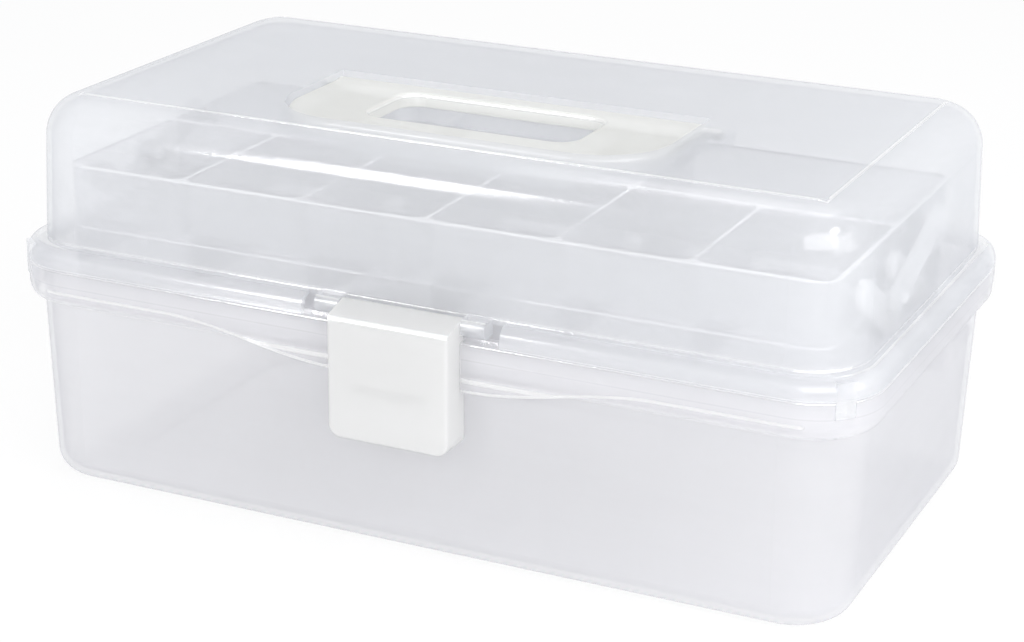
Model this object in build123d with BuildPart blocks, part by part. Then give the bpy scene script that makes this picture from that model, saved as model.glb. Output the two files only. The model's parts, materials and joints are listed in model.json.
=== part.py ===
from build123d import *
import os
from math import atan, cos, degrees, radians, sin, tan

os.makedirs("parts", exist_ok=True)

# Three-layer storage box: X along its length, -Y towards the latch, +Z up, in millimetres.
# The origin is at the bottom centre of the tub.

# Rim, shared by tub and lid
rim_length = 330.0
rim_depth = 188.3
rim_corner = 26.0
ledge_z = 86.0
seam = 0.2
clearance = 0.4

# Tub
tub_inset = 7.15
tub_bottom_length = rim_length - 2 * tub_inset
tub_bottom_depth = rim_depth - 2 * tub_inset
tub_corner = 22.0
tub_wall = 2.0
tub_floor = 2.6
tub_bottom_fillet = 9.0
tub_draft = 2.07
lip_z = ledge_z + 4.2
foot_recess = 0.8
foot_width = 12.0
skirt_bottom_z = ledge_z - 14.7
skirt_wall = 1.4
skirt_roll = 5.5
skirt_gap = 3.4
band_bottom_z = ledge_z - 6.0
band_step = 0.4
ledge_thickness = 2.0
apron_bottom_z = ledge_z - 18.0
apron_flat = 26.0
apron_end = 95.0

# Lid
lid_inset = 6.2
lid_foot_z = ledge_z + 8.1
lid_foot_length = rim_length - 2 * lid_inset
lid_foot_depth = rim_depth - 2 * lid_inset
lid_corner = 23.0
lid_wall = 2.0
lid_top_z = lid_foot_z + 52.9
lid_edge_fillet = 15.5
lid_draft = 2.11
shoulder_radius = 6.0
panel_inset = 14.5
panel_height = 0.5
panel_corner = 4.0
tab_width = 7.0
tab_depth = 3.7
tab_bottom_z = ledge_z - 5.8
tab_top_z = ledge_z + 6.8

# Rear hinges
hinge_y = rim_depth / 2 + 5.35
hinge_z = ledge_z + 1.0
hinge_x = 90.0
barrel_radius = 4.0
hinge_pin_radius = 1.5
lid_knuckle = 16.0
tub_knuckle = 8.0
hinge_gap = 0.4

# Latch
latch_y = 2.65 - rim_depth / 2
latch_z = ledge_z + 5.2
latch_width = 46.0
latch_front_y = -9.35 - rim_depth / 2
latch_back_y = -0.55 - rim_depth / 2
latch_bottom_z = ledge_z - 39.5
latch_front_top_z = ledge_z + 4.8
latch_wall = 2.0
latch_corner = 4.5
latch_barrel = 2.8
trunnion_radius = 1.6
running_fit = 0.05
ear_width = 9.0
ear_gap = 0.5
ear_radius = 3.3
notch_half = 38.0
hook_z = ledge_z - 20.0
hook_half = 14.0
hook_tip_y = -0.35 - rim_depth / 2

# Handle
handle_length = 146.0
handle_reach = 59.25
handle_pivot_y = 0.25
handle_thickness = 5.5
handle_bottom_z = lid_top_z - 6.5
handle_corner = 26.0
grip_width = 14.5
finger_half = 41.0
finger_depth = 36.5
handle_trunnion = 2.0
trunnion_length = 7.0
trunnion_block_width = 10.0
trunnion_block_height = 7.2
recess_margin = 1.2
recess_floor = 2.0
pocket_depth = 6.0
pocket_margin = 5.0

# Links from the lid to the upper tray, just inside the lid's end walls
link_thickness = 2.4
link_outer_x = lid_foot_length / 2 - lid_wall - 1.9
link_inner_x = link_outer_x - link_thickness
link_lid_y = -21.4
link_lid_z = ledge_z + 15.0
link_tray_y = 23.4
link_tray_z = ledge_z + 30.0
link_width = 10.4
link_slot_near = 43.9
link_slot_far = 48.7
link_slot_width = 5.7

# Arms that carry the trays: parallel, in pairs at each end
arm_angle = 150.0
arm_thickness = 2.6
arm_outer_x = link_inner_x - 0.5
arm_inner_x = arm_outer_x - arm_thickness
arm_width = 10.0
rear_arm_y = lid_foot_depth / 2 - 15.95
arm_spacing = 34.0

# Trays
tray_length = 2 * (arm_inner_x - 1.4)
tray_front_y = 11.95 - lid_foot_depth / 2
tray_back_y = lid_foot_depth / 2 - 22.95
tray_height = 22.0
tray_corner = 10.0
tray_wall = 1.6
divider = 1.4
tray_draft = 1.5
row_split_y = tray_front_y + 72.0
upper_tray_z = ledge_z + 13.0
lower_tray_z = upper_tray_z - tray_height - 1.0
cell_corner = 4.0
cell_floor_fillet = 2.0

# Pivots of the arms
arm_base_z = lower_tray_z - 17.0
lower_pivot = (lower_tray_z + 11.5 - arm_base_z) / sin(radians(arm_angle))
upper_pivot = (upper_tray_z + 12.0 - arm_base_z) / sin(radians(arm_angle))

# Rivets and studs
rivet_radius = 2.0
rivet_head = 3.2
rivet_head_thickness = 0.8
counterbore_radius = 3.6
counterbore_depth = 1.1
boss_radius = 4.5
base_rivet_tip = tub_bottom_length / 2 - 0.85
link_rivet_tip = link_outer_x + 2.3
hole_spare = 0.2
tray_boss_inner = tray_length / 2 - 4.0
snap_head = 2.6

sides = {"left": -1, "right": 1}


def grow(height, draft):
    """How far a drafted wall moves sideways over a height."""
    return height * tan(radians(draft))


def block(length, depth, corner, z, height, taper=0.0, mode=Mode.ADD):
    with BuildSketch(Plane.XY.offset(z)) as outline:
        RectangleRounded(length, depth, corner)
    extrude(outline.sketch, amount=height, taper=taper, mode=mode)


def round_block(length, depth, corner, z, height, taper, radius, end):
    """A drafted rounded box with its top (end 1) or bottom (end 0) edges rounded."""
    with BuildPart() as body:
        block(length, depth, corner, z, height, taper)
        face = body.faces().sort_by(Axis.Z)[-end]
        fillet(face.edges(), radius)
    return body.part


def across(y, z, x, side):
    """A plane square to X whose normal points away from the middle of the box."""
    return Plane(origin=(side * x, y, z), x_dir=(0, 1, 0), z_dir=(side, 0, 0))


def pin(y, z, x, side, radius, reach, mode=Mode.ADD):
    """A cylinder along X from x outwards, or inwards where reach is negative."""
    with BuildSketch(across(y, z, x, side)) as outline:
        Circle(radius)
    extrude(outline.sketch, amount=reach, mode=mode)


def save(builder, name):
    builder.part.label = name
    export_step(builder.part, f"parts/{name}.step")


def beside_tub(z):
    """Just in front of the tub's wall at a height."""
    return -tub_bottom_depth / 2 - grow(z, tub_draft) - 0.5


def arm_point(base_y, along):
    """Where a point of an arm lies with the lid shut."""
    angle = radians(arm_angle)
    return base_y + along * cos(angle), arm_base_z + along * sin(angle)


def corner_plane(side, z):
    """A level plane at a front corner of the rim, its own x pointing out of the corner."""
    origin = (side * (rim_length / 2 - rim_corner), rim_corner - rim_depth / 2, z)
    return Plane(origin=origin, x_dir=(side, -1, 0), z_dir=(0, 0, 1))


arm_bases = {"front": rear_arm_y - arm_spacing, "rear": rear_arm_y}
handle_front_y = handle_pivot_y - handle_reach
handle_pivot_z = handle_bottom_z + handle_thickness / 2

# Tub: drafted shell with a hollow rim, a ledge for the lid and a lip inside it
tub_outer = round_block(
    tub_bottom_length, tub_bottom_depth, tub_corner, 0, lip_z, -tub_draft, tub_bottom_fillet, 0
)
inner_rise = 2 * grow(tub_floor, tub_draft) - 2 * tub_wall
tub_void = round_block(
    tub_bottom_length + inner_rise,
    tub_bottom_depth + inner_rise,
    tub_corner - tub_wall,
    tub_floor,
    lip_z - tub_floor,
    -tub_draft,
    tub_bottom_fillet - tub_wall,
    0,
)
low_length = rim_length - 2 * band_step
low_depth = rim_depth - 2 * band_step
rim_hollow = round_block(
    low_length - 2 * skirt_wall,
    low_depth - 2 * skirt_wall,
    rim_corner - band_step - skirt_wall,
    skirt_bottom_z + skirt_wall,
    ledge_z - ledge_thickness - skirt_bottom_z - skirt_wall,
    0,
    skirt_roll - skirt_wall,
    0,
)
# Bosses for the arm rivets, trimmed to the outside of the tub
boss_x = arm_outer_x + clearance
with BuildPart() as arm_bosses:
    for side in sides.values():
        for base_y in arm_bases.values():
            pin(base_y, arm_base_z, boss_x, side, boss_radius, 8)
    add(tub_outer, mode=Mode.INTERSECT)
with BuildPart() as base_tub:
    block(rim_length, rim_depth, rim_corner, band_bottom_z, ledge_z - band_bottom_z)
    fillet(base_tub.faces().sort_by(Axis.Z)[-1].edges(), 0.8)
    block(low_length, low_depth, rim_corner - band_step, skirt_bottom_z, band_bottom_z - skirt_bottom_z)
    fillet(base_tub.faces().sort_by(Axis.Z)[0].edges(), skirt_roll)
    add(rim_hollow, mode=Mode.SUBTRACT)
    block(
        rim_length - 2 * skirt_gap,
        rim_depth - 2 * skirt_gap,
        rim_corner - skirt_gap,
        skirt_bottom_z,
        3,
        mode=Mode.SUBTRACT,
    )
    # Front apron: the skirt dips in a long S curve towards the latch
    with BuildSketch(Plane.XZ.offset(low_depth / 2)):
        with BuildLine():
            top_z = skirt_bottom_z + skirt_roll + 1.5
            end_z = skirt_bottom_z + skirt_roll
            Line((-apron_end, top_z), (-apron_end, end_z))
            Spline((-apron_end, end_z), (-apron_flat, apron_bottom_z), tangents=((1, 0), (1, 0)))
            Line((-apron_flat, apron_bottom_z), (apron_flat, apron_bottom_z))
            Spline((apron_flat, apron_bottom_z), (apron_end, end_z), tangents=((1, 0), (1, 0)))
            Line((apron_end, end_z), (apron_end, top_z))
            Line((apron_end, top_z), (-apron_end, top_z))
        make_face()
    extrude(amount=-skirt_wall)
    # Notches at the front corners for the lid's tabs
    for side in sides.values():
        with BuildSketch(corner_plane(side, tab_bottom_z - clearance)):
            with Locations((rim_corner - tab_depth / 2, 0)):
                Rectangle(tab_depth + 2 * clearance, tab_width + 2 * clearance)
        extrude(amount=ledge_z - tab_bottom_z + 1, mode=Mode.SUBTRACT)
    # Slots through the rim for the latch's side walls
    for side in sides.values():
        with BuildSketch(Plane.XY.offset(apron_bottom_z - 1)):
            with Locations((side * (latch_width - latch_wall) / 2, -rim_depth / 2)):
                Rectangle(latch_wall + 2 * clearance, rim_depth - tub_bottom_depth)
        extrude(amount=ledge_z - apron_bottom_z + 2, mode=Mode.SUBTRACT)
    add(tub_outer)
    add(tub_void, mode=Mode.SUBTRACT)
    # The lip is lower behind the latch
    with BuildSketch(Plane.XY.offset(ledge_z + 0.8)):
        with Locations((0, -rim_depth / 2)):
            Rectangle(2 * notch_half + 4, rim_depth - lid_foot_depth + 6)
    extrude(amount=lip_z - ledge_z, mode=Mode.SUBTRACT)
    foot_length = tub_bottom_length - 2 * (tub_bottom_fillet + foot_width)
    foot_depth = tub_bottom_depth - 2 * (tub_bottom_fillet + foot_width)
    block(foot_length, foot_depth, tub_corner, 0, foot_recess, mode=Mode.SUBTRACT)
    add(arm_bosses)
    hole_depth = base_rivet_tip + hole_spare - boss_x
    for side in sides.values():
        for base_y in arm_bases.values():
            pin(base_y, arm_base_z, boss_x, side, rivet_radius, hole_depth, mode=Mode.SUBTRACT)
    # Hinge knuckles
    for centre in (-hinge_x, hinge_x):
        for turn in (-1, 1):
            near = centre + turn * (lid_knuckle / 2 + hinge_gap)
            with BuildSketch(Plane.YZ.offset(near)):
                with Locations((hinge_y, hinge_z)):
                    Circle(barrel_radius)
                with BuildLine():
                    skirt_y = rim_depth / 2 - 1.0
                    reach = barrel_radius * sin(radians(45))
                    Polyline(
                        (skirt_y, skirt_bottom_z + 2),
                        (hinge_y + reach, hinge_z - reach),
                        (hinge_y, hinge_z),
                        (hinge_y - barrel_radius + 0.5, ledge_z - 0.2),
                        (skirt_y, ledge_z - 0.9),
                        close=True,
                    )
                make_face()
            extrude(amount=turn * tub_knuckle)
        pin(hinge_y, hinge_z, centre - 30, 1, hinge_pin_radius, 60, mode=Mode.SUBTRACT)
save(base_tub, "base_tub")

# Lid: shoulder over the tub's lip, drafted walls and a well for the handle
flange_outer = round_block(
    rim_length, rim_depth, rim_corner, ledge_z + seam, lid_foot_z - ledge_z - seam, 0, shoulder_radius, 1
)
flange_void = round_block(
    rim_length - 2 * lid_wall,
    rim_depth - 2 * lid_wall,
    rim_corner - lid_wall,
    ledge_z + seam,
    lid_foot_z - lid_wall - ledge_z - seam,
    0,
    shoulder_radius - lid_wall,
    1,
)
wall_start_z = lid_foot_z - lid_wall
start_spread = 2 * grow(lid_wall, lid_draft)
lid_outer = round_block(
    lid_foot_length + start_spread,
    lid_foot_depth + start_spread,
    lid_corner,
    wall_start_z,
    lid_top_z - wall_start_z,
    lid_draft,
    lid_edge_fillet,
    1,
)
lid_void = round_block(
    lid_foot_length + start_spread - 2 * lid_wall,
    lid_foot_depth + start_spread - 2 * lid_wall,
    lid_corner - lid_wall,
    wall_start_z - 0.1,
    lid_top_z - lid_wall - wall_start_z + 0.1,
    lid_draft,
    lid_edge_fillet - lid_wall,
    1,
)
handle_back_y = handle_pivot_y + handle_thickness / 2
well_length = handle_length + 2 * recess_margin
well_depth = handle_back_y - handle_front_y + 2 * recess_margin
well_y = (handle_back_y + handle_front_y) / 2
well_floor_z = handle_bottom_z - 0.5
gap_front_y = handle_front_y + grip_width
gap_y = gap_front_y + finger_depth / 2
pocket_floor_z = well_floor_z - pocket_depth
pocket_length = 2 * (finger_half + pocket_margin)
pocket_width = finger_depth + 2 * pocket_margin
pocket_y = gap_y - 1.5
top_shrink = 2 * grow(lid_top_z - lid_foot_z, lid_draft)
with BuildPart() as lid:
    add(flange_outer)
    add(flange_void, mode=Mode.SUBTRACT)
    add(lid_outer)
    # The top is a raised panel with a crisp edge
    block(
        lid_foot_length - top_shrink - 2 * panel_inset,
        lid_foot_depth - top_shrink - 2 * panel_inset,
        panel_corner,
        lid_top_z - 1,
        1 + panel_height,
    )
    chamfer(lid.faces().sort_by(Axis.Z)[-1].edges(), panel_height - 0.1)
    add(lid_void, mode=Mode.SUBTRACT)
    # Handle well: a tray let into the top
    with BuildSketch(Plane.XY.offset(well_floor_z - recess_floor)):
        with Locations((0, well_y)):
            outline = Rectangle(well_length + 2 * lid_wall, well_depth + 2 * lid_wall)
        fillet(outline.vertices().group_by(Axis.Y)[0], handle_corner + recess_margin + lid_wall)
        fillet(outline.vertices().group_by(Axis.Y)[-1], recess_margin + lid_wall)
    extrude(amount=lid_top_z - 1.0 - well_floor_z + recess_floor)
    with BuildSketch(Plane.XY.offset(pocket_floor_z - recess_floor)):
        with Locations((0, pocket_y)):
            RectangleRounded(pocket_length + 2 * lid_wall, pocket_width + 2 * lid_wall, 8 + lid_wall)
    extrude(amount=pocket_depth + 1)
    block_z = lid_top_z - 1 - trunnion_block_height / 2
    for side in sides.values():
        with BuildSketch(across(handle_pivot_y, block_z, handle_length / 2 + recess_margin, side)):
            Rectangle(trunnion_block_width, trunnion_block_height)
        extrude(amount=trunnion_length + 2)
    with BuildSketch(Plane.XY.offset(well_floor_z)):
        with Locations((0, well_y)):
            outline = Rectangle(well_length, well_depth)
        fillet(outline.vertices().group_by(Axis.Y)[0], handle_corner + recess_margin)
        fillet(outline.vertices().group_by(Axis.Y)[-1], recess_margin)
    extrude(amount=lid_top_z + 1 - well_floor_z, mode=Mode.SUBTRACT)
    with BuildSketch(Plane.XY.offset(pocket_floor_z)):
        with Locations((0, pocket_y)):
            RectangleRounded(pocket_length, pocket_width, 8)
    extrude(amount=pocket_depth + 1, mode=Mode.SUBTRACT)
    bore = handle_trunnion + running_fit
    bore_depth = trunnion_length + 0.5
    for side in sides.values():
        pin(handle_pivot_y, handle_pivot_z, handle_length / 2, side, bore, bore_depth, mode=Mode.SUBTRACT)
    # Notch in the flange for the latch, with an ear at each side of it
    with BuildSketch(Plane.XY.offset(ledge_z)):
        with Locations((0, -rim_depth / 2)):
            Rectangle(2 * notch_half, rim_depth - lid_foot_depth - 0.4)
    extrude(amount=lid_foot_z - ledge_z, mode=Mode.SUBTRACT)
    for side in sides.values():
        ear_x = latch_width / 2 + ear_gap
        with BuildSketch(Plane.YZ.offset(side * ear_x)):
            with Locations((latch_y, latch_z)):
                Circle(ear_radius)
            with BuildLine():
                wall_y = -lid_foot_depth / 2 + 0.6
                Polyline(
                    (latch_y, latch_z - ear_radius),
                    (wall_y, latch_z - ear_radius + 0.8),
                    (wall_y, latch_z + ear_radius),
                    (latch_y, latch_z + ear_radius),
                    close=True,
                )
            make_face()
        extrude(amount=side * ear_width)
        bore = trunnion_radius + running_fit
        pin(latch_y, latch_z, ear_x, side, bore, ear_width - 2, mode=Mode.SUBTRACT)
    # Corner tabs that drop into notches of the tub's rim
    for side in sides.values():
        with BuildSketch(corner_plane(side, tab_bottom_z)):
            with Locations((rim_corner - tab_depth / 2, 0)):
                Rectangle(tab_depth, tab_width)
        extrude(amount=tab_top_z - tab_bottom_z)
    # Hinge knuckles
    for centre in (-hinge_x, hinge_x):
        with BuildSketch(Plane.YZ.offset(centre - lid_knuckle / 2)):
            with Locations((hinge_y, hinge_z)):
                Circle(barrel_radius)
            with BuildLine():
                flange_y = rim_depth / 2 - 1.0
                reach = barrel_radius * sin(radians(45))
                Polyline(
                    (flange_y, ledge_z + 0.4),
                    (hinge_y - barrel_radius + 0.7, ledge_z + 0.4),
                    (hinge_y, hinge_z),
                    (hinge_y - reach, hinge_z + reach),
                    (flange_y, hinge_z + reach),
                    close=True,
                )
            make_face()
        extrude(amount=lid_knuckle)
        pin(hinge_y, hinge_z, centre - 30, 1, hinge_pin_radius + running_fit, 60, mode=Mode.SUBTRACT)
    # Bosses for the link rivets
    for side in sides.values():
        boss_x = link_outer_x + clearance
        hole_end = link_rivet_tip + hole_spare
        pin(link_lid_y, link_lid_z, boss_x, side, boss_radius, hole_end + 0.2 - boss_x)
        pin(link_lid_y, link_lid_z, boss_x, side, rivet_radius, hole_end - boss_x, mode=Mode.SUBTRACT)
save(lid, "lid")

# Hinge pins, tight in the tub's knuckles and running in the lid's
for name, side in sides.items():
    half = lid_knuckle / 2 + hinge_gap + tub_knuckle
    with BuildPart() as hinge_pin:
        pin(hinge_y, hinge_z, side * hinge_x - half, 1, hinge_pin_radius, 2 * half)
        chamfer(hinge_pin.edges().filter_by(GeomType.CIRCLE), 0.3)
    save(hinge_pin, f"hinge_pin_{name}")

# Latch: a hollow flap hung between the ears, its side walls reaching back through the rim's slots
side_profile = [
    (beside_tub(latch_bottom_z), latch_bottom_z),
    (latch_front_y + 0.8, latch_bottom_z),
    (latch_front_y, latch_front_top_z),
    (latch_y, latch_z + latch_barrel),
    (latch_y + latch_barrel, latch_z),
    (beside_tub(ledge_z + 1.2), ledge_z + 1.2),
]
with BuildPart() as latch:
    with BuildSketch(Plane.YZ.offset(-latch_width / 2)):
        with BuildLine():
            Polyline(*side_profile, close=True)
        make_face()
    extrude(amount=latch_width)
    low_edges = latch.edges().filter_by(Axis.Y).group_by(Axis.Z)[0]
    fillet(low_edges, latch_corner)
    front = latch.faces().sort_by(Axis.Y)[0]
    fillet(front.edges(), 1.2)
    behind_latch_y = latch_y + 4.0
    with BuildSketch(Plane.XZ.offset(-behind_latch_y)):
        inner_top_z = ledge_z
        inner_bottom_z = latch_bottom_z + latch_wall
        with Locations((0, (inner_top_z + inner_bottom_z) / 2)):
            outline = Rectangle(latch_width - 2 * latch_wall, inner_top_z - inner_bottom_z)
        fillet(outline.vertices().group_by(Axis.Y)[0], latch_corner - latch_wall)
    extrude(amount=behind_latch_y - latch_front_y - latch_wall, mode=Mode.SUBTRACT)
    with BuildSketch(Plane.XY.offset(latch_bottom_z - 1)):
        with Locations((0, latch_back_y + 5)):
            Rectangle(latch_width - 2 * latch_wall, 10)
    extrude(amount=ledge_z + clearance - latch_bottom_z + 1, mode=Mode.SUBTRACT)
    with BuildSketch(Plane.YZ.offset(latch_wall - latch_width / 2)):
        with BuildLine():
            Polyline(
                (latch_y + 1, ledge_z),
                (latch_front_y + latch_wall, ledge_z - 1),
                (latch_front_y + latch_wall, latch_front_top_z - latch_wall),
                (latch_y, latch_z + latch_barrel - latch_wall - 0.6),
                (latch_y + 1, latch_z),
                close=True,
            )
        make_face()
    extrude(amount=latch_width - 2 * latch_wall, mode=Mode.SUBTRACT)
    with BuildSketch(Plane.YZ.offset(-latch_width / 2)):
        with Locations((latch_y, latch_z)):
            Circle(latch_barrel)
    extrude(amount=latch_width)
    # Hook rib that comes up under the tub's apron
    with BuildSketch(Plane.YZ.offset(-hook_half)):
        with BuildLine():
            Polyline(
                (latch_front_y + latch_wall - 0.5, hook_z - 3.0),
                (hook_tip_y, hook_z - 0.5),
                (hook_tip_y, hook_z + 0.7),
                (latch_front_y + latch_wall - 0.5, hook_z + 1.0),
                close=True,
            )
        make_face()
    extrude(amount=2 * hook_half)
    for side in sides.values():
        pin(latch_y, latch_z, latch_width / 2 - 1, side, trunnion_radius, ear_width - 2)
save(latch, "latch")

# Handle: a flat frame with a grip bar, on moulded trunnions
with BuildPart() as handle:
    with BuildSketch(Plane.XY.offset(handle_bottom_z)):
        with Locations((0, (handle_front_y + handle_pivot_y) / 2)):
            outline = Rectangle(handle_length, handle_pivot_y - handle_front_y)
        fillet(outline.vertices().group_by(Axis.Y)[0], handle_corner)
        with Locations((0, gap_y)):
            RectangleRounded(2 * finger_half, finger_depth, 8, mode=Mode.SUBTRACT)
    extrude(amount=handle_thickness)
    fillet(handle.faces().sort_by(Axis.Z)[-1].edges().filter_by(lambda edge: edge.center().Y < -1), 1.5)
    fillet(handle.faces().sort_by(Axis.Z)[0].edges().filter_by(lambda edge: edge.center().Y < -1), 1.0)
    pin(handle_pivot_y, handle_pivot_z, -handle_length / 2, 1, handle_thickness / 2, handle_length)
    for side in sides.values():
        pin(handle_pivot_y, handle_pivot_z, handle_length / 2 - 1, side, handle_trunnion, trunnion_length + 1)
save(handle, "handle")


# Trays: six cells in front, three behind
def cell_row(count, front_y, back_y):
    pitch = (tray_length - 2 * tray_wall + divider) / count
    floor_spread = 2 * grow(tray_height - tray_wall, tray_draft)
    cell = round_block(
        pitch - divider - floor_spread,
        back_y - front_y - floor_spread,
        cell_corner,
        0,
        tray_height - tray_wall,
        -tray_draft,
        cell_floor_fillet,
        0,
    )
    return count, front_y, back_y, cell


cells = [
    cell_row(6, tray_front_y + tray_wall, row_split_y - divider / 2),
    cell_row(3, row_split_y + divider / 2, tray_back_y - tray_wall),
]


def tray(z, pivots):
    with BuildPart() as body:
        spread = 2 * grow(tray_height, tray_draft)
        middle_y = (tray_front_y + tray_back_y) / 2
        tray_depth = tray_back_y - tray_front_y
        with BuildSketch(Plane.XY.offset(z)):
            with Locations((0, middle_y)):
                RectangleRounded(tray_length - spread, tray_depth - spread, tray_corner - spread / 2)
        extrude(amount=tray_height, taper=-tray_draft)
        for count, front_y, back_y, cell in cells:
            pitch = (tray_length - 2 * tray_wall + divider) / count
            with Locations((0, (front_y + back_y) / 2, z + tray_wall)):
                with GridLocations(pitch, 1, count, 1):
                    add(cell, mode=Mode.SUBTRACT)
        for side in sides.values():
            for y, pivot_z in pivots:
                reach = arm_inner_x - clearance - tray_boss_inner
                pin(y, pivot_z, tray_boss_inner, side, boss_radius, reach)
                pin(y, pivot_z, tray_boss_inner, side, rivet_radius, reach, mode=Mode.SUBTRACT)
    return body


lower_pivots = [arm_point(base_y, lower_pivot) for base_y in arm_bases.values()]
upper_pivots = [arm_point(base_y, upper_pivot) for base_y in arm_bases.values()]
save(tray(lower_tray_z, lower_pivots), "lower_tray")
save(tray(upper_tray_z, upper_pivots + [(link_tray_y, link_tray_z)]), "upper_tray")


def bar_plane(y, z, x, side, angle):
    """A plane square to X, its own x along a bar that leaves (y, z) at an angle above +Y."""
    direction = (0, cos(radians(angle)), sin(radians(angle)))
    return Plane(origin=(side * x, y, z), x_dir=direction, z_dir=(side, 0, 0))


# Arms: the base hole is countersunk inside, the tray holes outside
for side_name, side in sides.items():
    for place, base_y in arm_bases.items():
        with BuildPart() as arm:
            with BuildSketch(bar_plane(base_y, arm_base_z, arm_inner_x, side, arm_angle)):
                with Locations((upper_pivot / 2, 0)):
                    SlotCenterToCenter(upper_pivot, arm_width)
                with Locations((0, 0), (lower_pivot, 0), (upper_pivot, 0)):
                    Circle(rivet_radius + running_fit, mode=Mode.SUBTRACT)
            extrude(amount=arm_thickness)
            with BuildSketch(bar_plane(base_y, arm_base_z, arm_inner_x, side, arm_angle)):
                Circle(counterbore_radius)
            extrude(amount=counterbore_depth, mode=Mode.SUBTRACT)
            with BuildSketch(bar_plane(base_y, arm_base_z, arm_outer_x, side, arm_angle)):
                with Locations((lower_pivot, 0), (upper_pivot, 0)):
                    Circle(counterbore_radius)
                with Locations((lower_pivot / 2, 0), ((lower_pivot + upper_pivot) / 2, 0)):
                    SlotCenterToCenter(upper_pivot - lower_pivot - 22, 4)
            extrude(amount=-counterbore_depth, mode=Mode.SUBTRACT)
        save(arm, f"{place}_arm_{side_name}")

# Links: an eye on the lid and a slot round the stud of the upper tray
link_angle = degrees(atan((link_tray_z - link_lid_z) / (link_tray_y - link_lid_y)))
for side_name, side in sides.items():
    with BuildPart() as link:
        with BuildSketch(bar_plane(link_lid_y, link_lid_z, link_inner_x, side, link_angle)):
            with Locations((link_slot_far / 2, 0)):
                SlotCenterToCenter(link_slot_far, link_width)
            Circle(rivet_radius + running_fit, mode=Mode.SUBTRACT)
            with Locations(((link_slot_near + link_slot_far) / 2, 0)):
                SlotCenterToCenter(link_slot_far - link_slot_near, link_slot_width, mode=Mode.SUBTRACT)
        extrude(amount=link_thickness)
        with BuildSketch(bar_plane(link_lid_y, link_lid_z, link_inner_x, side, link_angle)):
            Circle(counterbore_radius)
        extrude(amount=counterbore_depth, mode=Mode.SUBTRACT)
    save(link, f"lid_link_{side_name}")


def turned(name, y, z, side, outline):
    """A rivet turned about an axis along X; outline gives distance from the middle and radius."""
    with BuildPart() as piece:
        with BuildSketch(Plane(origin=(0, y, z), x_dir=(side, 0, 0), z_dir=(0, -side, 0))):
            with BuildLine():
                Polyline((outline[0][0], 0), *outline, (outline[-1][0], 0), close=True)
            make_face()
        revolve(axis=Axis((0, y, z), (1, 0, 0)))
    save(piece, name)


def base_rivet(name, y, z, side, head_x, tip_x):
    """Head on the inside, shank outwards into a blind hole."""
    under = head_x + rivet_head_thickness
    turned(name, y, z, side, [
        (head_x, rivet_head - 0.4),
        (head_x + 0.4, rivet_head),
        (under, rivet_head),
        (under, rivet_radius),
        (tip_x, rivet_radius),
    ])


def tray_rivet(name, y, z, side):
    """Head outside the arm, shank inwards through the tray's boss to a snap head."""
    head_x = arm_outer_x - 0.2
    under = head_x - rivet_head_thickness
    turned(name, y, z, side, [
        (head_x, rivet_head - 0.4),
        (head_x - 0.4, rivet_head),
        (under, rivet_head),
        (under, rivet_radius),
        (tray_boss_inner, rivet_radius),
        (tray_boss_inner, snap_head),
        (tray_boss_inner - 0.8, snap_head),
        (tray_boss_inner - 1.8, rivet_radius - 0.4),
    ])


def tray_stud(name, y, z, side):
    """Shoulder on the tray's boss, plain end in the link's slot."""
    shoulder_x = arm_inner_x - clearance
    turned(name, y, z, side, [
        (link_outer_x - 0.2, rivet_radius),
        (link_inner_x - 0.3, rivet_radius),
        (link_inner_x - 0.3, rivet_head),
        (shoulder_x, rivet_head),
        (shoulder_x, rivet_radius),
        (tray_boss_inner, rivet_radius),
        (tray_boss_inner, snap_head),
        (tray_boss_inner - 0.8, snap_head),
        (tray_boss_inner - 1.8, rivet_radius - 0.4),
    ])


for side_name, side in sides.items():
    for place, base_y in arm_bases.items():
        y, z = arm_point(base_y, 0)
        base_rivet(f"base_rivet_{place}_{side_name}", y, z, side, arm_inner_x + 0.2, base_rivet_tip)
        y, z = arm_point(base_y, lower_pivot)
        tray_rivet(f"lower_rivet_{place}_{side_name}", y, z, side)
        y, z = arm_point(base_y, upper_pivot)
        tray_rivet(f"upper_rivet_{place}_{side_name}", y, z, side)
    base_rivet(f"link_rivet_{side_name}", link_lid_y, link_lid_z, side, link_inner_x + 0.2, link_rivet_tip)
    tray_stud(f"link_stud_{side_name}", link_tray_y, link_tray_z, side)
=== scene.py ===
import json
import math

import bpy
import numpy as np
from mathutils import Matrix, Vector

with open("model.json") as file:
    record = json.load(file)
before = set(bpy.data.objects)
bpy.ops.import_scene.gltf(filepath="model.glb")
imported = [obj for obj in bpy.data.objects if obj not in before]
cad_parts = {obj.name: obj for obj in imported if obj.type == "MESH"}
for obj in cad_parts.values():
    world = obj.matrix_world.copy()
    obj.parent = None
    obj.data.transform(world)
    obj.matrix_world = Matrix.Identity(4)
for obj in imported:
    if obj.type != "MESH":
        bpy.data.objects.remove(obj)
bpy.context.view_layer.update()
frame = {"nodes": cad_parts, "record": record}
nodes = frame["nodes"]
record = frame["record"]


# Heights and reaches of the moulded edges, in metres
ledge = 0.086
lid_foot = 0.0941
lid_top = 0.147
crease_x = 0.14235
crease_y = 0.0715
rim_half_x = 0.165
rim_half_y = 0.09415
skirt_foot = 0.0722
skirt_spring = 0.0768
skirt_front = -0.0932
band_foot = 0.080
apron_foot = 0.068
apron_flat = 0.026
apron_end = 0.095
upper_tray_top = 0.121
lower_tray_top = 0.098
latch_front = -0.1035
latch_brow = 0.0905
handle_brow = 0.1448


# Shader sockets as Python values

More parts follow.
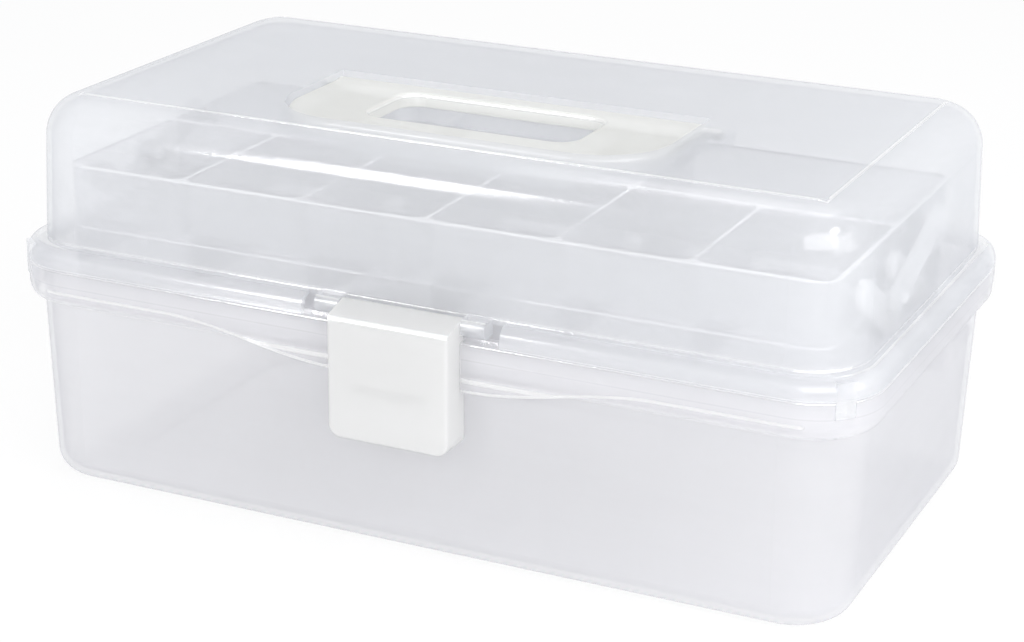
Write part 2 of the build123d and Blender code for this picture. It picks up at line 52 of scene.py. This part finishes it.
class Value:
    """A shader socket that adds Math nodes when it is used in an expression."""

    def __init__(self, maker, socket):
        self.maker = maker
        self.socket = socket

    def _maths(self, operation, first, second):
        return self.maker.node("ShaderNodeMath", {"operation": operation}, {0: first, 1: second})[0]

    def __add__(self, other):
        return self._maths("ADD", self, other)

    __radd__ = __add__

    def __sub__(self, other):
        return self._maths("SUBTRACT", self, other)

    def __rsub__(self, other):
        return self._maths("SUBTRACT", other, self)

    def __mul__(self, other):
        return self._maths("MULTIPLY", self, other)

    __rmul__ = __mul__

    def __pow__(self, other):
        return self._maths("POWER", self, other)

    def __abs__(self):
        return self._maths("ABSOLUTE", self, 0.0)

    def most(self, other):
        """The larger of the two."""
        return self._maths("MAXIMUM", self, other)

    def least(self, other):
        """The smaller of the two."""
        return self._maths("MINIMUM", self, other)


class Finish:
    """A material under construction: every node comes from its node method."""

    def __init__(self, material):
        material.use_nodes = True
        self.material = material
        self.tree = material.node_tree
        self.tree.nodes.clear()

    def node(self, kind, settings=None, inputs=None):
        """Adds a node, sets it up, joins its inputs and returns its outputs as values."""
        made = self.tree.nodes.new(kind)
        for name, setting in (settings or {}).items():
            if name == "stops":
                ramp = made.color_ramp.elements
                while len(ramp) < len(setting):
                    ramp.new(0.5)
                for stop, (place, colour) in zip(ramp, setting):
                    stop.position = place
                    stop.color = colour
            else:
                setattr(made, name, setting)
        for name, given in (inputs or {}).items():
            socket = made.inputs[name]
            if isinstance(given, Value):
                self.tree.links.new(given.socket, socket)
            else:
                socket.default_value = given
        return [Value(self, output) for output in made.outputs]

    def place(self):
        """Object coordinates, which are metres in the box's frame."""
        return self.node("ShaderNodeTexCoord")[3]

    def axes(self):
        """X, Y and Z of the place as numbers."""
        return self.node("ShaderNodeSeparateXYZ", {}, {0: self.place()})

    def fade(self, value, start, end, high=1.0, low=0.0):
        """High up to start, then an S curve down to low at end."""
        return self.node("ShaderNodeMapRange", {"interpolation_type": "SMOOTHSTEP"}, {
            "Value": value, "From Min": start, "From Max": end, "To Min": high, "To Max": low
        })[0]

    def noise(self, scale, detail=2.0, roughness=0.5, stretch=(1, 1, 1)):
        """Cloudy noise from 0 to 1, fixed to the piece and drawn out along an axis with a small stretch."""
        where = self.node("ShaderNodeMapping", {}, {"Vector": self.place(), "Scale": stretch})[0]
        return self.node("ShaderNodeTexNoise", {}, {
            "Vector": where, "Scale": scale, "Detail": detail, "Roughness": roughness
        })[0]

    def blend(self, factor, first, second):
        """A mix of two colours."""
        return self.node("ShaderNodeMix", {"data_type": "RGBA"}, {0: factor, 6: first, 7: second})[2]

    def mix(self, factor, first, second):
        """A mix of two shaders."""
        return self.node("ShaderNodeMixShader", {}, {0: factor, 1: first, 2: second})[0]

    def bump(self, height, distance):
        """The surface's normal, raised by a height of 0 to 1 times the distance."""
        return self.node("ShaderNodeBump", {}, {"Height": height, "Distance": distance})[0]

    def glancing(self, normal):
        """0 where a face is seen square on, 1 where it is seen edge on."""
        return self.node("ShaderNodeLayerWeight", {}, {"Blend": 0.5, "Normal": normal})[1]

    def close(self, shader, output="ShaderNodeOutputMaterial"):
        """Joins the last shader to the output and returns the material."""
        self.node(output, {}, {"Surface": shader})
        return self.material


def spread(value, low, high):
    """A 0 to 1 value carried to low to high."""
    return value * (high - low) + low


# Painted highlights along each moulded edge: each mask is 1 along the edge and fades within a millimetre, and
# raises the mirror share there so the edge reflects the white surround as a bright line

def lid_painted_highlights(make):
    """Painted highlights on the lid: along the crease round its top panel, the foot of its walls and the
    flange's hem.
    """
    x, y, z = make.axes()
    panel = (abs(x) - crease_x).most(abs(y) - crease_y)
    top_face = make.fade(z, lid_top - 0.0012, lid_top - 0.0004, 0.0, 1.0)
    crease = make.fade(abs(panel), 0.0002, 0.0007) * top_face
    foot = make.fade(abs(z - lid_foot), 0.0001, 0.0009) * 0.8
    hem = make.fade(z, ledge + 0.0004, ledge + 0.0010) * 0.5
    return crease.most(foot).most(hem)


def tub_painted_highlights(make):
    """Painted highlights on the tub: along the rim's top and step, the rolled skirt's foot and the apron's S
    curve.
    """
    x, y, z = make.axes()
    outside = make.fade(abs(x), rim_half_x - 0.012, rim_half_x - 0.010, 0.0, 1.0).most(
        make.fade(abs(y), rim_half_y - 0.0065, rim_half_y - 0.005, 0.0, 1.0)
    )
    roll = make.fade(abs(z - skirt_foot), 0.0004, 0.0013)
    top = make.fade(z, ledge - 0.0012, ledge - 0.0004, 0.0, 0.5)
    step = make.fade(abs(z - band_foot), 0.0001, 0.0006) * 0.3
    apron = make.fade(abs(x), apron_flat, apron_end, apron_foot, skirt_spring)
    front = make.fade(y, skirt_front, skirt_front + 0.0006)
    hem = make.fade(abs(z - apron - 0.0004), 0.0003, 0.0009) * front
    return (roll.most(top).most(step) * outside).most(hem)


def tray_painted_highlights(make):
    """Painted highlights along the top edge of each tray wall and divider."""
    z = make.axes()[2]
    return make.fade(abs(z - upper_tray_top).least(abs(z - lower_tray_top)), 0.0002, 0.0010)


def latch_painted_highlights(make):
    """A painted highlight along the latch's top front edge."""
    _, y, z = make.axes()
    front = make.fade(y, latch_front + 0.0004, latch_front + 0.0018)
    return make.fade(abs(z - latch_brow), 0.0005, 0.0011) * front


def handle_painted_highlights(make):
    """A painted highlight round the upper part of the handle's walls."""
    z = make.axes()[2]
    return make.fade(abs(z - handle_brow), 0.0004, 0.0009)


# Finishes

# Light that goes straight through one face of the plastic, seen square on and seen edge on
clear_light = (0.995, 0.996, 0.998, 1)
edge_on_light = (0.78, 0.79, 0.81, 1)
# Share of a face that mirrors, seen square on and seen edge on
shine_square, shine_edge_on = 0.04, 0.16
orange_peel_depth = 0.00005


def cloudy_plastic(name, pale, deep, haze, gloss, grain, painted_highlights=None, painted_highlight_gleam=0.45, through_share=0.55):
    """Moulded polypropylene: part of the light goes straight through, part is scattered, and it is glossy.

    A wall seen edge on is a longer way through the plastic, so it is darker there.
    pale and deep are the colours of the clouds, haze the least and most share of light that is scattered,
    gloss the least and most roughness, grain the scale of the orange peel, painted_highlights a mask of
    painted highlights along moulded rims, painted_highlight_gleam their strength and through_share the part
    of the scattered light that comes out at the back.
    """
    make = Finish(bpy.data.materials.new(name))
    clouds = make.noise(11.0, 2.0)
    streaks = make.noise(9.0, 4.0, 0.6, (0.4, 1.0, 5.0))
    peel = make.noise(grain, 2.0)
    scuffs = make.noise(60.0, 5.0, 0.7)
    normal = make.bump(peel + streaks * 3.0, orange_peel_depth)
    glancing = make.glancing(normal)
    front = make.node("ShaderNodeBsdfPrincipled", {}, {
        "Base Color": make.blend(clouds, (*deep, 1), (*pale, 1)),
        "Roughness": spread(scuffs, 0.4, 0.6),
        "Specular IOR Level": 0.0,
        "Normal": normal,
    })[0]
    through = make.node("ShaderNodeBsdfTranslucent", {}, {"Color": (*pale, 1)})[0]
    scattered = make.mix(through_share, front, through)
    square_way = make.node("ShaderNodeBsdfTransparent", {}, {"Color": clear_light})[0]
    long_way = make.node("ShaderNodeBsdfTransparent", {}, {"Color": edge_on_light})[0]
    open_way = make.mix(glancing ** 4.0, square_way, long_way)
    body = make.mix(spread(clouds * 0.6 + streaks * 0.4, *haze), open_way, scattered)
    skin = make.node("ShaderNodeBsdfGlossy", {}, {
        "Color": (1, 1, 1, 1), "Roughness": spread(scuffs, *gloss), "Normal": normal
    })[0]
    gloss_and_painted_highlights = spread(glancing ** 5.0, shine_square, shine_edge_on)
    # Painted highlights: along moulded rims the mask raises the mirror share, so they reflect the white
    # surround as bright lines
    if painted_highlights:
        gloss_and_painted_highlights = gloss_and_painted_highlights.most(painted_highlights(make) * painted_highlight_gleam)
    return make.close(make.mix(gloss_and_painted_highlights, body, skin))


def drawn_wire(name):
    """Bright drawn steel with fine lengthwise lines."""
    make = Finish(bpy.data.materials.new(name))
    lines = make.noise(300.0, 3.0, 0.6, (0.05, 1, 1))
    shader = make.node("ShaderNodeBsdfPrincipled", {}, {
        "Base Color": make.blend(lines, (0.55, 0.55, 0.56, 1), (0.72, 0.72, 0.73, 1)),
        "Metallic": 1.0,
        "Roughness": spread(lines, 0.2, 0.4),
    })[0]
    return make.close(shader)


finishes = {
    "clear_lid": cloudy_plastic(
        "clear_lid", pale=(0.945, 0.955, 0.975), deep=(0.92, 0.93, 0.955), haze=(0.26, 0.34),
        gloss=(0.06, 0.16), grain=420, painted_highlights=lid_painted_highlights,
    ),
    "clear_tub": cloudy_plastic(
        "clear_tub", pale=(0.935, 0.93, 0.95), deep=(0.91, 0.905, 0.925), haze=(0.28, 0.36),
        gloss=(0.06, 0.16), grain=420, painted_highlights=tub_painted_highlights,
    ),
    "clear_tray": cloudy_plastic(
        "clear_tray", pale=(0.95, 0.95, 0.965), deep=(0.93, 0.93, 0.945), haze=(0.28, 0.36),
        gloss=(0.08, 0.18), grain=420, painted_highlights=tray_painted_highlights, painted_highlight_gleam=0.8,
    ),
    "milky_latch": cloudy_plastic(
        "milky_latch", pale=(0.83, 0.83, 0.825), deep=(0.82, 0.82, 0.815), haze=(0.70, 0.74),
        gloss=(0.25, 0.4), grain=900, painted_highlights=latch_painted_highlights, painted_highlight_gleam=0.8, through_share=0.35,
    ),
    "milky_handle": cloudy_plastic(
        "milky_handle", pale=(0.99, 0.985, 0.94), deep=(0.98, 0.975, 0.93), haze=(0.36, 0.42),
        gloss=(0.15, 0.3), grain=900, painted_highlights=handle_painted_highlights, painted_highlight_gleam=0.3, through_share=0.3,
    ),
    "milky_arm": cloudy_plastic(
        "milky_arm", pale=(1.0, 1.0, 1.0), deep=(0.98, 0.98, 0.98), haze=(0.55, 0.65),
        gloss=(0.2, 0.35), grain=900,
    ),
    "milky_rivet": cloudy_plastic(
        "milky_rivet", pale=(1.0, 1.0, 1.0), deep=(0.98, 0.98, 0.98), haze=(0.7, 0.8),
        gloss=(0.2, 0.35), grain=900,
    ),
    "pin_metal": drawn_wire("pin_metal"),
}
for part in record["subparts"]:
    node = nodes[part["node"]]
    node.data.materials.clear()
    node.data.materials.append(finishes[part["material_slot"]])


# Stage: a pale floor, soft lamps and a white surround

def watched(make):
    """1 where the camera, a reflection or a refraction looks, and 0 for light scattered by a surface."""
    path = {output.socket.name: output for output in make.node("ShaderNodeLightPath")}
    mirrored = path["Is Glossy Ray"] + path["Is Transmission Ray"] * (1.0 - path["Is Diffuse Ray"])
    return make.node("ShaderNodeMath", {"operation": "MAXIMUM"}, {0: path["Is Camera Ray"], 1: mirrored})[0]


def add_floor():
    """A wide pale floor just under the box, nearly white where it is looked at, with the shadow kept."""
    reach, drop, white_share = 6.0, 0.0003, 0.85
    corners = [(-reach, -reach), (reach, -reach), (reach, reach), (-reach, reach)]
    mesh = bpy.data.meshes.new("floor")
    mesh.from_pydata([(x, y, -drop) for x, y in corners], [], [(0, 1, 2, 3)])
    floor = bpy.data.objects.new("floor", mesh)
    bpy.context.scene.collection.objects.link(floor)
    make = Finish(bpy.data.materials.new("pale_floor"))
    own = make.node("ShaderNodeBsdfDiffuse", {}, {"Color": (0.96, 0.96, 0.96, 1)})[0]
    white = make.node("ShaderNodeEmission", {}, {"Color": (1, 1, 1, 1), "Strength": 1.0})[0]
    mesh.materials.append(make.close(make.mix(watched(make) * white_share, own, white)))


def add_surround():
    """Soft light from all round, and white where the camera or a reflection looks."""
    world = bpy.data.worlds.new("surround")
    bpy.context.scene.world = world
    make = Finish(world)
    light = make.node("ShaderNodeBackground", {}, {"Color": (0.97, 0.98, 1.0, 1), "Strength": 0.58})[0]
    white = make.node("ShaderNodeBackground", {}, {"Color": (1, 1, 1, 1), "Strength": 1.0})[0]
    make.close(make.mix(watched(make), light, white), "ShaderNodeOutputWorld")


def add_lamp(name, place, aim, size, power):
    """A white rectangular soft lamp at a place, turned towards what it lights."""
    lamp = bpy.data.lights.new(name, "AREA")
    lamp.shape = "RECTANGLE"
    lamp.size, lamp.size_y = size
    lamp.energy = power
    thing = bpy.data.objects.new(name, lamp)
    thing.location = place
    thing.rotation_euler = (Vector(aim) - Vector(place)).to_track_quat("-Z", "Y").to_euler()
    bpy.context.scene.collection.objects.link(thing)


def add_camera():
    """The photograph's camera: found from the outline, turned a little about its own line of sight."""
    azimuth, elevation, roll = math.radians(24.52), math.radians(19.80), math.radians(1.0)
    target = np.array([0.00708, -0.01608, 0.0662])
    distance = 0.92032
    focal_pixels, frame_pixels = 2483.58, 1024
    back = np.array([
        math.sin(azimuth) * math.cos(elevation), -math.cos(azimuth) * math.cos(elevation), math.sin(elevation)
    ])
    level = np.array([math.cos(azimuth), math.sin(azimuth), 0.0])
    upward = np.cross(back, level)
    right = level * math.cos(roll) + upward * math.sin(roll)
    up = upward * math.cos(roll) - level * math.sin(roll)
    place = target + back * distance
    lens = bpy.data.cameras.new("camera")
    lens.sensor_width = 36.0
    lens.lens = lens.sensor_width * focal_pixels / frame_pixels
    camera = bpy.data.objects.new("camera", lens)
    turn = Matrix([[right[i], up[i], back[i], place[i]] for i in range(3)] + [[0, 0, 0, 1]])
    camera.matrix_world = turn
    bpy.context.scene.collection.objects.link(camera)
    bpy.context.scene.camera = camera


bpy.context.scene.view_settings.view_transform = "Standard"
add_floor()
add_surround()
add_lamp("front_left", (-0.54, -1.03, 0.60), (-0.04, -0.08, 0.14), (0.20, 0.45), 3.2)
add_lamp("right", (1.00, -0.35, 1.07), (0.14, -0.07, 0.13), (0.30, 0.30), 2.5)
add_lamp("side", (1.30, -0.30, 0.45), (0.1, 0, 0.07), (1.0, 0.8), 5.0)
add_lamp("fill", (0.85, -1.15, 0.75), (0, 0, 0.06), (1.6, 1.0), 14.0)
add_lamp("overhead", (0.0, 0.4, 1.5), (0, 0, 0.1), (1.2, 1.0), 6.0)
add_camera()
